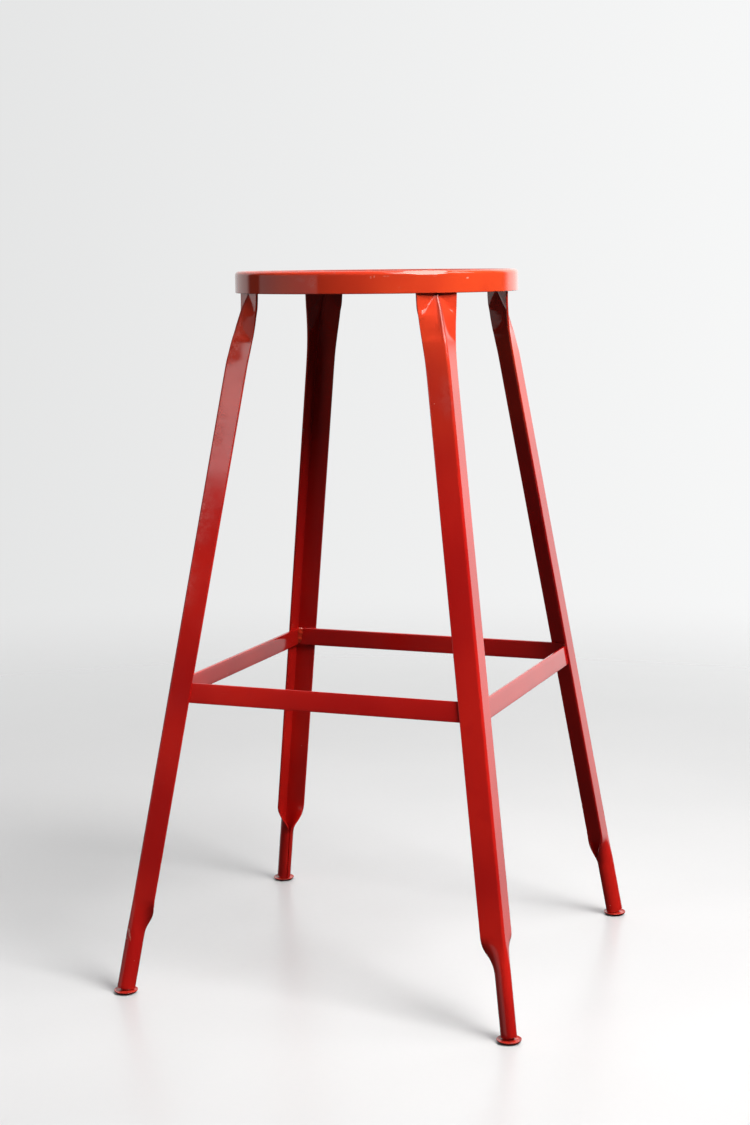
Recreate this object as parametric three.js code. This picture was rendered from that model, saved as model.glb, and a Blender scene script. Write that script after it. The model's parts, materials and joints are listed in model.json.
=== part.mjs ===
// Round steel stool on four splayed angle legs, with a square footrest ring
// and tilting glides. Millimetres, +Z up. The origin is on the floor, on the
// seat's axis. The legs stand on the diagonals, so the footrest bars run
// parallel to X and Y. The front right leg is at +X, -Y.
import * as THREE from 'three';

// ---------------------------------------------------------------- dimensions
// seat pan
const SEAT_R = 152.4;          // outer radius of the skirt
const SEAT_TOP = 763.0;        // highest line of the rim
const SKIRT_BOTTOM = 740.0;    // lower edge of the skirt
const PAN_T = 2.0;             // sheet
const RIM_ROUND = 4.2;         // outer radius of the roll between top and skirt
const DISH_FLAT_R = 62.0;      // flat middle of the dish
const DISH_Z = 755.6;
const DENT_DEPTH = 1.35;       // one flat knocked into the edge of the rim
const DENT_AZ = -49.5;         // degrees, over the front right leg
const DENT_HALF = 13;          // degrees each side

// legs: one inch angle, formed from 2.5 mm steel
const LEG_T = 2.5;
const RIDGE0 = 314.6;          // radius of the sharp outer corner at floor level
const SPLAY = 0.2079;          // radius lost per unit of height
const LEAN = Math.atan(SPLAY); // 11.7 degrees along the diagonal
const HALF_DEV = 23.9;         // half of the developed width, along the middle of the sheet
const BEND_R = 1.6;            // corner radius at the middle of the sheet
const TAB_V = 148.1;           // outer face of the flattened tab
const TAB_START = 741.0;       // the corner starts here and grows downward
const KNEE_RUN = 27.0;         // the flat facets run out this far below
const TAB_TOP = 759.3;
const SWAGE_TOP = 107.0;       // the flanges start to curl in
const SWAGE_END = 67.0;        // the tube is closed
const TUBE_A = 9.8;            // outer half size of the oval foot, along the radius
const TUBE_B = 7.85;           // and across it
const TUBE_INSET = 0.8;        // outer face of the tube, inside the line of the sharp corner
const SEAM_HALF = 0.3;         // half of the gap left at the seam

// footrest ring: flat bar against the inner faces of the leg flanges
const BAR_T = 3.2;
const BAR_H = 21.2;
const BAR_Z = 322.8;
const GAP = 0.3;               // clearance kept between neighbouring pieces

// glides
const BALL_Z = 4.1;            // centre of the ball joint above the floor
const BALL_R = 2.8;
const SOCKET_R = 3.1;
const CUP_R = 12.7;
const TUBE_END = 1.1;          // from the ball centre up the leg's axis to the tube's end
const PLUG_START = 3.2;        // the plug sits back in the tube, clear of the crown
const PLUG_LEN = 15.5;

const ROOT2 = Math.SQRT2;
const rad = THREE.MathUtils.degToRad;
const mix = (a, b, k) => a + (b - a) * k;
const clamp01 = (x) => Math.min(1, Math.max(0, x));
const smooth = (a, b, x) => { const k = clamp01((x - a) / (b - a)); return k * k * (3 - 2 * k); };

// ------------------------------------------------------------------ finishes
const enamel = (color) => new THREE.MeshStandardMaterial({ color, roughness: 0.24, metalness: 0.0 });
const steel = (color) => new THREE.MeshStandardMaterial({ color, roughness: 0.45, metalness: 0.9 });
const plastic = (color) => new THREE.MeshStandardMaterial({ color, roughness: 0.6, metalness: 0.0 });
const RED = 0xa8140f;
const RED_DEEP = 0x8e0f0d;

// ---------------------------------------------------------------- seat shape
// How far the dent moves a point of the pan, inward and down alike. The edge
// is pressed to a flat at 45 degrees, on both faces of the sheet.
function dent(x, y, z) {
  const r = Math.hypot(x, y);
  let a = Math.atan2(y, x) * 180 / Math.PI - DENT_AZ;
  while (a > 180) a -= 360;
  while (a < -180) a += 360;
  const across = Math.abs(a) < DENT_HALF ? 0.5 + 0.5 * Math.cos(Math.PI * a / DENT_HALF) : 0;
  const dr = r - (SEAT_R - RIM_ROUND), dz = z - (SEAT_TOP - RIM_ROUND);
  const out = (dr + dz) / ROOT2;
  // the inner face of the sheet lies one sheet nearer to the roll's centre
  const inner = Math.hypot(Math.max(dr, 0), Math.max(dz, 0)) < RIM_ROUND - PAN_T / 2;
  const limit = (inner ? RIM_ROUND - PAN_T : RIM_ROUND) - DENT_DEPTH * across;
  return Math.max(0, out - limit) / ROOT2;
}

function seatPan() {
  const top = [
    [0, DISH_Z], [DISH_FLAT_R, DISH_Z], [85, 755.7], [110, 756.0], [127, 756.6], [135, 757.3],
    [139.2, 758.3], [141.4, 759.6], [143.2, 761.2], [144.8, 762.3], [146.2, 762.85],
  ];
  const cR = SEAT_R - RIM_ROUND, cZ = SEAT_TOP - RIM_ROUND;
  const profile = top.map(([r, z]) => new THREE.Vector2(r, z));
  for (let i = 0; i <= 4; i++) {
    const a = rad(90 - 22.5 * i);
    profile.push(new THREE.Vector2(cR + RIM_ROUND * Math.cos(a), cZ + RIM_ROUND * Math.sin(a)));
  }
  profile.push(new THREE.Vector2(SEAT_R, 749));
  profile.push(new THREE.Vector2(SEAT_R, SKIRT_BOTTOM + 0.5));
  profile.push(new THREE.Vector2(SEAT_R - 0.5, SKIRT_BOTTOM));
  profile.push(new THREE.Vector2(SEAT_R - PAN_T + 0.4, SKIRT_BOTTOM));
  profile.push(new THREE.Vector2(SEAT_R - PAN_T, SKIRT_BOTTOM + 0.4));
  profile.push(new THREE.Vector2(SEAT_R - PAN_T, 749));
  const inner = RIM_ROUND - PAN_T;
  for (let i = 0; i <= 2; i++) {
    const a = rad(45 * i);
    profile.push(new THREE.Vector2(cR + inner * Math.cos(a), cZ + inner * Math.sin(a)));
  }
  for (const [r, z] of top.slice().reverse()) profile.push(new THREE.Vector2(r, z - PAN_T - (r > 90 ? 0.02 : 0)));
  // the profile runs from the axis out over the top, down the skirt and back
  // to the axis underneath, so it is reversed to turn the faces outward
  const g = new THREE.LatheGeometry(profile.reverse(), 64);
  g.rotateX(Math.PI / 2);
  const p = g.attributes.position;
  for (let i = 0; i < p.count; i++) {
    const x = p.getX(i), y = p.getY(i), z = p.getZ(i);
    const d = dent(x, y, z), k = d > 0 ? 1 - d / Math.hypot(x, y) : 1;
    p.setXYZ(i, x * k, y * k, z - d);
  }
  return g;
}

// ----------------------------------------------------------------- leg shape
// A section is the middle line of the sheet, from the corner (0, 0) to one
// free edge, in u (across) and w (inward from the sharp outer corner).
const TOP_TABLE = [ // height, radius of the sharp corner, depth of the section, half width
  [741, 148.1, 0.0, 22.9], [737, 150.3, 2.1, 22.8], [734, 152.2, 4.0, 22.7], [725, 156.8, 8.2, 22.2],
  [710, 162.4, 12.6, 21.0], [700, 165.7, 14.5, 20.1], [690, 169.0, 16.1, 19.3], [680, 172.1, 17.1, 18.6],
  [670, 175.1, 17.75, 18.15], [655, RIDGE0 - SPLAY * 655, 17.96, 17.96], [640, RIDGE0 - SPLAY * 640, 17.96, 17.96],
];

function topRow(z) {
  if (z >= TAB_START) return [TAB_V, 0, 22.9];
  if (z <= 640) return [RIDGE0 - SPLAY * z, 17.96, 17.96];
  let i = 0;
  while (TOP_TABLE[i + 1][0] > z) i++;
  const at = (j) => TOP_TABLE[Math.min(TOP_TABLE.length - 1, Math.max(0, j))];
  const a = at(i), b = at(i + 1), k = (a[0] - z) / (a[0] - b[0]);
  const p = at(i - 1), n = at(i + 2);
  return [1, 2, 3].map((c) => {
    const h = a[0] - b[0];
    const ma = i === 0 ? (a[c] - b[c]) / h : (p[c] - b[c]) / (p[0] - b[0]);
    const mb = (a[c] - n[c]) / (a[0] - n[0]);
    const k2 = k * k, k3 = k2 * k;
    return (2 * k3 - 3 * k2 + 1) * a[c] + (k3 - 2 * k2 + k) * -h * ma + (-2 * k3 + 3 * k2) * b[c] + (k3 - k2) * -h * mb;
  });
}

function roundedPath(points, trims) {
  const out = [points[0].clone()];
  for (let i = 1; i < points.length - 1; i++) {
    const a = points[i - 1], b = points[i], c = points[i + 1];
    const t = Math.min(trims[i], 0.45 * a.distanceTo(b), 0.49 * b.distanceTo(c));
    const p = b.clone().lerp(a, t / a.distanceTo(b)), q = b.clone().lerp(c, t / b.distanceTo(c));
    const curve = new THREE.QuadraticBezierCurve(p, b, q);
    out.push(...curve.getPoints(8));
  }
  out.push(points[points.length - 1].clone());
  return out;
}

// Upper part: a flat tab whose middle rises into the corner. Each side of the
// corner is steep for a short way (RIDGE_SIDE), then less so up to the knee,
// which runs straight from the middle of the tab out to the free edge.
const RIDGE_SIDE = [ // height, length of the steep side
  [741, 0], [734, 2.6], [724, 4.0], [712, 5.4], [705, 8.0], [698, 13.0], [690, 24.0], [640, 30.0],
];

function ridgeSide(z) {
  let i = 0;
  while (i < RIDGE_SIDE.length - 2 && RIDGE_SIDE[i + 1][0] > z) i++;
  const [a, b] = [RIDGE_SIDE[i], RIDGE_SIDE[i + 1]];
  return mix(a[1], b[1], clamp01((a[0] - z) / (a[0] - b[0])));
}

// The outer face from the corner to the free edge, as straight stretches.
function upperFace(z) {
  const [, depth, ue] = topRow(z);
  const uk = ue * clamp01((TAB_START - z) / KNEE_RUN);
  const flat = smooth(0, 9, ue - uk);
  const slope = Math.tan(rad(24)) * (1 - flat);
  const knee = new THREE.Vector2(uk, depth - (ue - uk) * slope);
  const chord = knee.length(), side = Math.min(ridgeSide(z), chord);
  const lean = mix(Math.PI / 4, Math.atan2(knee.y, knee.x), smooth(0.35, 0.95, side / chord));
  const points = [new THREE.Vector2(0, 0)];
  if (side < 0.96 * chord) points.push(new THREE.Vector2(Math.cos(lean), Math.sin(lean)).multiplyScalar(side));
  if (ue - uk > 0.4) points.push(knee);
  points.push(new THREE.Vector2(ue, depth));
  return points;
}

function upperHalf(z) {
  const t = LEG_T / 2;
  const [, depth, ue] = topRow(z);
  if (depth < 0.02) return [new THREE.Vector2(0, t), new THREE.Vector2(ue, t)];
  const face = upperFace(z);
  // to the middle of the sheet: each stretch moves inward by half its thickness
  const way = face.slice(1).map((p, i) => p.clone().sub(face[i]).normalize());
  const normal = way.map((d) => new THREE.Vector2(-d.y, d.x));
  const half = face.map((p, i) => {
    if (i === 0) return new THREE.Vector2(0, t / way[0].x);
    if (i === face.length - 1) return p.clone().addScaledVector(normal[i - 1], t);
    const m = normal[i - 1].clone().add(normal[i]).normalize();
    return p.clone().addScaledVector(m, t / m.dot(normal[i]));
  });
  const mirror = half.slice(1).map((p) => new THREE.Vector2(-p.x, p.y)).reverse();
  const apex = BEND_R * way[0].y / way[0].x;
  const path = roundedPath([...mirror, ...half], [...mirror.map(() => 4), apex, ...half.slice(1).map(() => 4)]);
  const mid = (path.length - 1) / 2;
  const line = path.slice(Math.ceil(mid));
  if (line[0].x > 1e-9) line.unshift(new THREE.Vector2(0, line[0].y));
  return line;
}

// Lower part: the corner opens out and the flanges curl round into an oval.
const oval = (() => {
  const a = TUBE_A - LEG_T / 2, b = TUBE_B - LEG_T / 2, n = 400;
  const pts = [];
  for (let i = 0; i <= n; i++) {
    const q = Math.PI * i / n;
    pts.push([b * Math.sin(q), a * (1 - Math.cos(q))]);
  }
  const s = [0];
  for (let i = 1; i <= n; i++) s.push(s[i - 1] + Math.hypot(pts[i][0] - pts[i - 1][0], pts[i][1] - pts[i - 1][1]));
  const turn = pts.map((_, i) => {
    const p = pts[Math.max(0, i - 1)], q = pts[Math.min(n, i + 1)];
    return i === 0 ? 0 : i === n ? Math.PI : Math.atan2(q[1] - p[1], q[0] - p[0]);
  });
  return { s, turn, length: s[n] };
})();

function ovalTurn(s) {
  const x = Math.min(s, oval.length - 1e-6);
  let i = 1;
  while (oval.s[i] < x) i++;
  return mix(oval.turn[i - 1], oval.turn[i], (x - oval.s[i - 1]) / (oval.s[i] - oval.s[i - 1]));
}

function lowerHalf(z) {
  const k = smooth(SWAGE_TOP, SWAGE_END, z);
  const len = mix(HALF_DEV, oval.length - SEAM_HALF, k), n = 120;
  const bend = BEND_R * Math.PI / 4;
  const t = LEG_T / 2;
  const start = mix(t * ROOT2 + BEND_R * (ROOT2 - 1), TUBE_INSET + t, k);
  const line = [new THREE.Vector2(0, start)];
  for (let i = 1; i <= n; i++) {
    const s = (i - 0.5) / n * len;
    const v = Math.PI / 4 * clamp01(s / bend);
    const a = mix(v, ovalTurn(s), k);
    const last = line[i - 1];
    line.push(new THREE.Vector2(last.x + Math.cos(a) * len / n, last.y + Math.sin(a) * len / n));
  }
  return line;
}

// The half line is sampled at fixed shares of its length, offset to both
// faces of the sheet and mirrored.
const SHARES = [0, 0.04, 0.1, 0.24, 0.39, 0.54, 0.7, 0.85, 1];

function section(z) {
  const line = z > 300 ? upperHalf(z) : lowerHalf(z);
  const s = [0];
  for (let i = 1; i < line.length; i++) s.push(s[i - 1] + line[i].distanceTo(line[i - 1]));
  const total = s[s.length - 1];
  const at = (x) => {
    let i = 1;
    while (i < line.length - 1 && s[i] < x) i++;
    return line[i - 1].clone().lerp(line[i], (x - s[i - 1]) / (s[i] - s[i - 1]));
  };
  const outer = [], inner = [];
  for (const share of SHARES) {
    const x = share * total, e = 0.35;
    const p = at(x);
    const a = at(Math.max(0, x - e)), b = at(Math.min(total, x + e));
    const d = b.clone().sub(a).normalize();
    if (share === 0) d.set(1, 0);
    // outward is to the left of the direction of travel, where w is smaller
    const nx = d.y, ny = -d.x;
    outer.push(new THREE.Vector2(p.x + nx * LEG_T / 2, p.y + ny * LEG_T / 2));
    inner.push(new THREE.Vector2(p.x - nx * LEG_T / 2, p.y - ny * LEG_T / 2));
    if (share === 0) { outer[0].x = 0; inner[0].x = 0; }
  }
  const full = (half) => [...half.slice(1).reverse().map((p) => new THREE.Vector2(-p.x, p.y)), ...half];
  return { outer: full(outer), inner: full(inner) };
}

// A closed skin over a row of rings of equal length; strip caps join the
// outer and inner points of the first and last ring.
function skin(rings, half) {
  const n = rings[0].length, pos = [], idx = [];
  for (const r of rings) for (const p of r) pos.push(p.x, p.y, p.z);
  for (let i = 0; i + 1 < rings.length; i++) {
    for (let j = 0; j < n; j++) {
      const k = (j + 1) % n, a = i * n + j, b = i * n + k, c = (i + 1) * n + j, d = (i + 1) * n + k;
      idx.push(a, b, c, b, d, c);
    }
  }
  const cap = (o, flip) => {
    for (let j = 0; j + 1 < half; j++) {
      const a = o + j, b = o + j + 1, c = o + n - 1 - j, d = o + n - 2 - j;
      const quads = [[a, c, b], [b, c, d]];
      for (const q of quads) idx.push(...(flip ? [q[0], q[2], q[1]] : q));
    }
  };
  cap(0, false);
  cap((rings.length - 1) * n, true);
  const g = new THREE.BufferGeometry();
  g.setAttribute('position', new THREE.Float32BufferAttribute(pos, 3));
  g.setIndex(volume(pos, idx) < 0 ? turnOver(idx) : idx);
  g.computeVertexNormals();
  return g;
}

function volume(pos, idx) {
  let v = 0;
  for (let i = 0; i < idx.length; i += 3) {
    const [a, b, c] = [idx[i] * 3, idx[i + 1] * 3, idx[i + 2] * 3];
    v += pos[a] * (pos[b + 1] * pos[c + 2] - pos[b + 2] * pos[c + 1])
      - pos[a + 1] * (pos[b] * pos[c + 2] - pos[b + 2] * pos[c])
      + pos[a + 2] * (pos[b] * pos[c + 1] - pos[b + 1] * pos[c]);
  }
  return v / 6;
}

function turnOver(idx) {
  const out = idx.slice();
  for (let i = 0; i < out.length; i += 3) [out[i + 1], out[i + 2]] = [out[i + 2], out[i + 1]];
  return out;
}

// Where the sharp corner's line meets the plane of the tube's end.
const FOOT_R = RIDGE0 - SPLAY * BALL_Z - (TUBE_INSET + TUBE_A) / Math.cos(LEAN);
const FOOT_TOP = (() => {
  // the end plane is square to the leg's axis, TUBE_END above the ball
  const n = [-Math.sin(LEAN), Math.cos(LEAN)];
  const c = [FOOT_R + n[0] * TUBE_END, BALL_Z + n[1] * TUBE_END];
  // n . (RIDGE0 - SPLAY z - c0, z - c1) = 0
  return (n[0] * (c[0] - RIDGE0) + n[1] * c[1]) / (n[1] - n[0] * SPLAY);
})();

// The leg is built standing on the +X axis: x is the radius, y is across.
function legGeometry(tabTop) {
  const heights = [
    tabTop, 741, 737.5, 733, 727, 720, 713, 706, 699, 691, 681, 668, 652, 635,
    380, 112, 103, 98.5, 94.5, 90.5, 86.5, 82, 77, 71, 64, FOOT_TOP,
  ];
  const rings = heights.map((z) => {
    const tilt = LEAN * smooth(700, 640, z);
    const { outer, inner } = section(z);
    const [r] = topRow(z);
    const put = (p) => new THREE.Vector3(r - p.y * Math.cos(tilt), p.x, z - p.y * Math.sin(tilt));
    return [...outer.map(put), ...inner.map(put).reverse()];
  });
  return skin(rings, SHARES.length * 2 - 1);
}

// ------------------------------------------------------------- footrest ring
const side = (z) => (RIDGE0 - SPLAY * z) / ROOT2;       // outer face of a flange
const SIDE_LEAN = Math.atan(SPLAY / ROOT2);
const FLANGE = LEG_T / Math.cos(SIDE_LEAN);
const BAR_W = BAR_T / Math.cos(SIDE_LEAN);

// A bar lies along X at -Y; reach is how far its end stays inside the side face.
function barGeometry(reach) {
  const g = new THREE.BoxGeometry(2, BAR_T, BAR_H, 8, 1, 1);
  const p = g.attributes.position;
  const y0 = -(side(BAR_Z) - FLANGE - GAP - BAR_W / 2);
  for (let i = 0; i < p.count; i++) {
    const n = p.getY(i), h = p.getZ(i);
    const z = BAR_Z + h * Math.cos(SIDE_LEAN) - n * Math.sin(SIDE_LEAN);
    const y = y0 + h * Math.sin(SIDE_LEAN) + n * Math.cos(SIDE_LEAN);
    p.setXYZ(i, p.getX(i) * (side(z) - reach), y, z);
  }
  g.computeVertexNormals();
  return g;
}

// The bead stands in the inner corner between two bars, at +X, -Y.
function cornerWeld() {
  const stations = 9, rings = [];
  for (let i = 0; i < stations; i++) {
    const k = i / (stations - 1);
    const z = mix(BAR_Z - 9.2, BAR_Z + 11.0, k);
    const c = side(z) - FLANGE - GAP - BAR_W - GAP;
    const s = mix(3.4, 5.2, k ** 1.5) + 0.45 * Math.sin(i * 2.1) - 1.6 * Math.pow(Math.abs(2 * k - 1), 6);
    const out = [[0.1, 0.1], [0.1, s * 0.5], [0.1, s], [s * 0.42, s * 0.66], [s * 0.66, s * 0.42], [s, 0.1], [s * 0.5, 0.1]];
    rings.push(out.map(([a, b]) => new THREE.Vector3(c - a, -c + b, z)));
  }
  return fanned(rings);
}

// A closed skin over convex rings with fan caps.
function fanned(rings) {
  const n = rings[0].length, pos = [], idx = [];
  for (const r of rings) for (const p of r) pos.push(p.x, p.y, p.z);
  for (let i = 0; i + 1 < rings.length; i++) {
    for (let j = 0; j < n; j++) {
      const k = (j + 1) % n, a = i * n + j, b = i * n + k, c = (i + 1) * n + j, d = (i + 1) * n + k;
      idx.push(a, b, c, b, d, c);
    }
  }
  const last = (rings.length - 1) * n;
  for (let j = 1; j + 1 < n; j++) {
    idx.push(0, j + 1, j);
    idx.push(last, last + j, last + j + 1);
  }
  const g = new THREE.BufferGeometry();
  g.setAttribute('position', new THREE.Float32BufferAttribute(pos, 3));
  g.setIndex(volume(pos, idx) < 0 ? turnOver(idx) : idx);
  g.computeVertexNormals();
  return g;
}

// The bead under the seat, between the tab's inner face and the pan, on +X.
function tabWeld() {
  const stations = 11, rings = [];
  const v0 = TAB_V - LEG_T - GAP;
  for (let i = 0; i < stations; i++) {
    const k = i / (stations - 1), y = mix(-19, 19, k);
    const s = 1 + 0.1 * Math.sin(i * 2.3) - 0.35 * Math.pow(Math.abs(2 * k - 1), 6);
    rings.push([
      [v0, 759.95], [v0 - 1.0 * s, 759.5], [v0 - 1.75 * s, 758.7], [v0 - 1.85 * s, 757.9], [v0 - 1.1 * s, 756.9 + (1 - s)], [v0, 756.3 + (1 - s)],
    ].map(([x, z]) => new THREE.Vector3(x, y, z)));
  }
  return fanned(rings);
}

// -------------------------------------------------------------------- glides
// One turned profile: a saucer brim, a crown that closes over the ball, and a
// small flat under it.
function glideBase() {
  const open = 2.75;
  const crownTop = BALL_Z + Math.sqrt(SOCKET_R ** 2 - open ** 2);
  const outline = [
    [0, 0], [6.3, 0], [8.6, 0.25], [10.8, 1.05], [12.2, 2.1], [CUP_R, 3.05], [12.3, 3.5],
    [11.2, 2.85], [9.8, 2.5], [8.4, 2.8], [7.2, 3.15], [6.2, 3.7], [5.3, 4.5], [4.9, 5.1], [4.5, crownTop],
    [open, crownTop],
  ];
  const top = Math.acos((crownTop - BALL_Z) / SOCKET_R);
  for (let i = 1; i < 6; i++) {
    const a = mix(top, Math.PI, i / 6);
    outline.push([SOCKET_R * Math.sin(a), BALL_Z + SOCKET_R * Math.cos(a)]);
  }
  outline.push([0, BALL_Z - SOCKET_R]);
  const g = new THREE.LatheGeometry(outline.map(([r, z]) => new THREE.Vector2(r, z)), 24);
  g.rotateX(Math.PI / 2);
  return g;
}

// The stud: a ball, a neck and a shank, with its ball at the local origin.
function glideStem() {
  const outline = [[0, -BALL_R]];
  for (let i = 1; i < 6; i++) {
    const a = mix(Math.PI, Math.asin(1.6 / BALL_R), i / 6);
    outline.push([BALL_R * Math.sin(a), BALL_R * Math.cos(a)]);
  }
  outline.push([1.6, 2.3], [1.6, 4.2], [2.6, 4.9], [2.6, 17.4], [2.1, 18.1], [0, 18.1]);
  const g = new THREE.LatheGeometry(outline.map(([r, z]) => new THREE.Vector2(r, z)), 12);
  g.rotateX(Math.PI / 2);
  return g;
}

// The plug: an oval that fills the tube's end, bored for the stud.
function glideInsert() {
  const a = TUBE_A - LEG_T - GAP, b = TUBE_B - LEG_T - GAP;
  const shape = new THREE.Shape();
  shape.absellipse(0, 0, a, b, 0, Math.PI * 2, false, 0);
  const hole = new THREE.Path();
  hole.absellipse(0, 0, 2.6 + GAP, 2.6 + GAP, 0, Math.PI * 2, true, 0);
  shape.holes.push(hole);
  const g = new THREE.ExtrudeGeometry(shape, { depth: PLUG_LEN, bevelEnabled: false, curveSegments: 9 });
  g.translate(0, 0, PLUG_START);
  return g;
}

// ------------------------------------------------------------------ assembly
const stool = new THREE.Group();
const add = (parent, name, geometry, material) => {
  const mesh = new THREE.Mesh(geometry, material);
  mesh.name = name;
  parent.add(mesh);
  return mesh;
};

add(stool, 'seat_pan', seatPan(), enamel(0xb51c12));

const CORNERS = [
  ['front_left', -135], ['front_right', -45], ['back_right', 45], ['back_left', 135],
];
for (const [name, az] of CORNERS) {
  const corner = new THREE.Group();
  corner.rotation.z = rad(az);
  stool.add(corner);
  // the dented stretch of rim sits lower on its leg
  const drop = name === 'front_right' ? 1.2 : 0;
  add(corner, `leg_${name}`, legGeometry(TAB_TOP - drop), enamel(RED));
  add(corner, `seat_weld_${name}`, tabWeld(), enamel(RED_DEEP)).position.z = -drop;

  // the foot: the ball's centre lies on the tube's axis
  const foot = new THREE.Group();
  foot.position.set(FOOT_R, 0, 0);
  corner.add(foot);
  add(foot, `glide_base_${name}`, glideBase(), enamel(RED));
  const leaning = new THREE.Group();
  leaning.position.z = BALL_Z;
  leaning.rotation.y = -LEAN;
  foot.add(leaning);
  add(leaning, `glide_stem_${name}`, glideStem(), steel(0x8f8f8c));
  add(leaning, `glide_insert_${name}`, glideInsert(), plastic(0x191918));

  // the ring's bead stands in the same corner, turned from +X, -Y
  const turned = new THREE.Group();
  turned.rotation.z = rad(az + 45);
  stool.add(turned);
  add(turned, `footrest_weld_${name}`, cornerWeld(), enamel(RED_DEEP));
}

const BARS = [['front', 0], ['right', 90], ['back', 180], ['left', 270]];
for (const [name, az] of BARS) {
  const long = name === 'front' || name === 'back';
  const reach = long ? FLANGE + GAP + 0.05 : FLANGE + GAP + BAR_W + GAP + 0.05;
  const turned = new THREE.Group();
  turned.rotation.z = rad(az);
  stool.add(turned);
  add(turned, `footrest_bar_${name}`, barGeometry(reach), enamel(RED));
}

export default stool;
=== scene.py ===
import json
import math

import bpy
import numpy as np
from mathutils import Matrix, Vector

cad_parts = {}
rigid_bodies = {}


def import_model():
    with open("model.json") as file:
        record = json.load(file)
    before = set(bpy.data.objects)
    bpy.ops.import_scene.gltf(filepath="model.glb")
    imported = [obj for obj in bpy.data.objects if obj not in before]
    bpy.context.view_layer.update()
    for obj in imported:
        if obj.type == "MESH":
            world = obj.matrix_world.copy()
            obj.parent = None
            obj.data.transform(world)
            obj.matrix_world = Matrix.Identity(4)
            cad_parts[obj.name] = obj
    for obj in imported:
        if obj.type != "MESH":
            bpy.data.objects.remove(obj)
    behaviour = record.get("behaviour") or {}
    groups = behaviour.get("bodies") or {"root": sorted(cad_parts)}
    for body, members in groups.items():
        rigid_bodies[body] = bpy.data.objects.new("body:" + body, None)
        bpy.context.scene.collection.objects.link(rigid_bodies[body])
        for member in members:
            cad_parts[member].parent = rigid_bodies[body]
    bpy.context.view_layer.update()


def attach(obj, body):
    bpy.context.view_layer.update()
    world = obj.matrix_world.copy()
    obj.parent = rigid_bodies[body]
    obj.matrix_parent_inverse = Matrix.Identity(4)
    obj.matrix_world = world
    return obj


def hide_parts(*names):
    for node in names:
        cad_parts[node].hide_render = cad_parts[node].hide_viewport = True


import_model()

MM = 0.001
pi = math.pi

# ---------------------------------------------------------------- dimensions
# millimetres, the same numbers that the solids are made from
SEAT_R, SEAT_TOP, SKIRT_BOTTOM, PAN_T, RIM_ROUND = 152.4, 763.0, 740.0, 2.0, 4.2
DISH_FLAT_R, DISH_Z = 62.0, 755.6
DENT_DEPTH, DENT_AZ, DENT_HALF = 1.35, -49.5, 13.0
LEG_T, RIDGE0, SPLAY = 2.5, 314.6, 0.2079
LEAN = math.atan(SPLAY)
HALF_DEV, BEND_R = 23.9, 1.6
TAB_V, TAB_START, KNEE_RUN, TAB_TOP = 148.1, 741.0, 27.0, 759.3
SWAGE_TOP, SWAGE_END = 107.0, 67.0
TUBE_A, TUBE_B, TUBE_INSET, SEAM_HALF = 9.8, 7.85, 0.8, 0.3
BAR_T, BAR_H, BAR_Z, GAP = 3.2, 21.2, 322.8, 0.3
BALL_Z, BALL_R, SOCKET_R, CUP_R = 4.1, 2.8, 3.1, 12.7
TUBE_END, PLUG_START, PLUG_LEN = 1.1, 3.2, 15.5
FOOT_R = RIDGE0 - SPLAY * BALL_Z - (TUBE_INSET + TUBE_A) / math.cos(LEAN)
# height of the corner's line in the plane of the tube's end
FOOT_TOP = ((-math.sin(LEAN) * (FOOT_R - math.sin(LEAN) * TUBE_END - RIDGE0) + math.cos(LEAN) * (BALL_Z + math.cos(LEAN) * TUBE_END))
            / (math.cos(LEAN) + math.sin(LEAN) * SPLAY))
CORNERS = [("front_left", -135.0), ("front_right", -45.0), ("back_right", 45.0), ("back_left", 135.0)]


def mix(a, b, k):
    return a + (b - a) * k


def clamp01(x):
    return min(1.0, max(0.0, x))


def smooth(a, b, x):
    k = clamp01((x - a) / (b - a))
    return k * k * (3 - 2 * k)


def wobble(x, seed, octaves=3):
    """A smooth, repeatable curve between about -1 and 1."""
    total, weight = 0.0, 0.0
    for o in range(octaves):
        f = 1.9 ** o
        total += math.sin(x * f + seed * (1.7 + o) + 1.3 * math.sin(x * f * 0.37 + seed)) / (1.5 ** o)
        weight += 1 / (1.5 ** o)
    return total / weight


# ------------------------------------------------------------------- meshes
def volume(v, faces):
    total = 0.0
    for f in faces:
        a = v[f[0]]
        for i in range(1, len(f) - 1):
            b, c = v[f[i]], v[f[i + 1]]
            total += float(np.dot(a, np.cross(b, c)))
    return total / 6


def make_piece(name, verts, faces, body, node, material, uv=None, attributes=None, sharp=35.0):
    """A mesh in millimetres becomes a piece that stands for a node and rides on its body."""
    v = np.asarray(verts, float)
    # the origin of the sum is moved to the middle, so that the sign is safe
    if volume(v - v.mean(0), faces) < 0:
        faces = [tuple(reversed(f)) for f in faces]
    me = bpy.data.meshes.new(name)
    me.from_pydata((v * MM).tolist(), [], [list(f) for f in faces])
    me.update()
    if uv is not None:
        layer = me.uv_layers.new(name="along")
        loops = np.zeros(len(me.loops), np.int32)
        me.loops.foreach_get("vertex_index", loops)
        layer.data.foreach_set("uv", np.asarray(uv, np.float32)[loops].ravel())
    for key, values in (attributes or {}).items():
        a = me.attributes.new(key, "FLOAT", "POINT")
        a.data.foreach_set("value", np.asarray(values, np.float32))
    me.shade_smooth()
    me.set_sharp_from_angle(angle=math.radians(sharp))
    me.materials.append(material)
    o = bpy.data.objects.new(name, me)
    bpy.context.scene.collection.objects.link(o)
    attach(o, body)
    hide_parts(node)
    return o


def spin(points, az):
    a = math.radians(az)
    c, s = math.cos(a), math.sin(a)
    p = np.asarray(points, float)
    return np.stack([p[..., 0] * c - p[..., 1] * s, p[..., 0] * s + p[..., 1] * c, p[..., 2]], -1)


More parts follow.
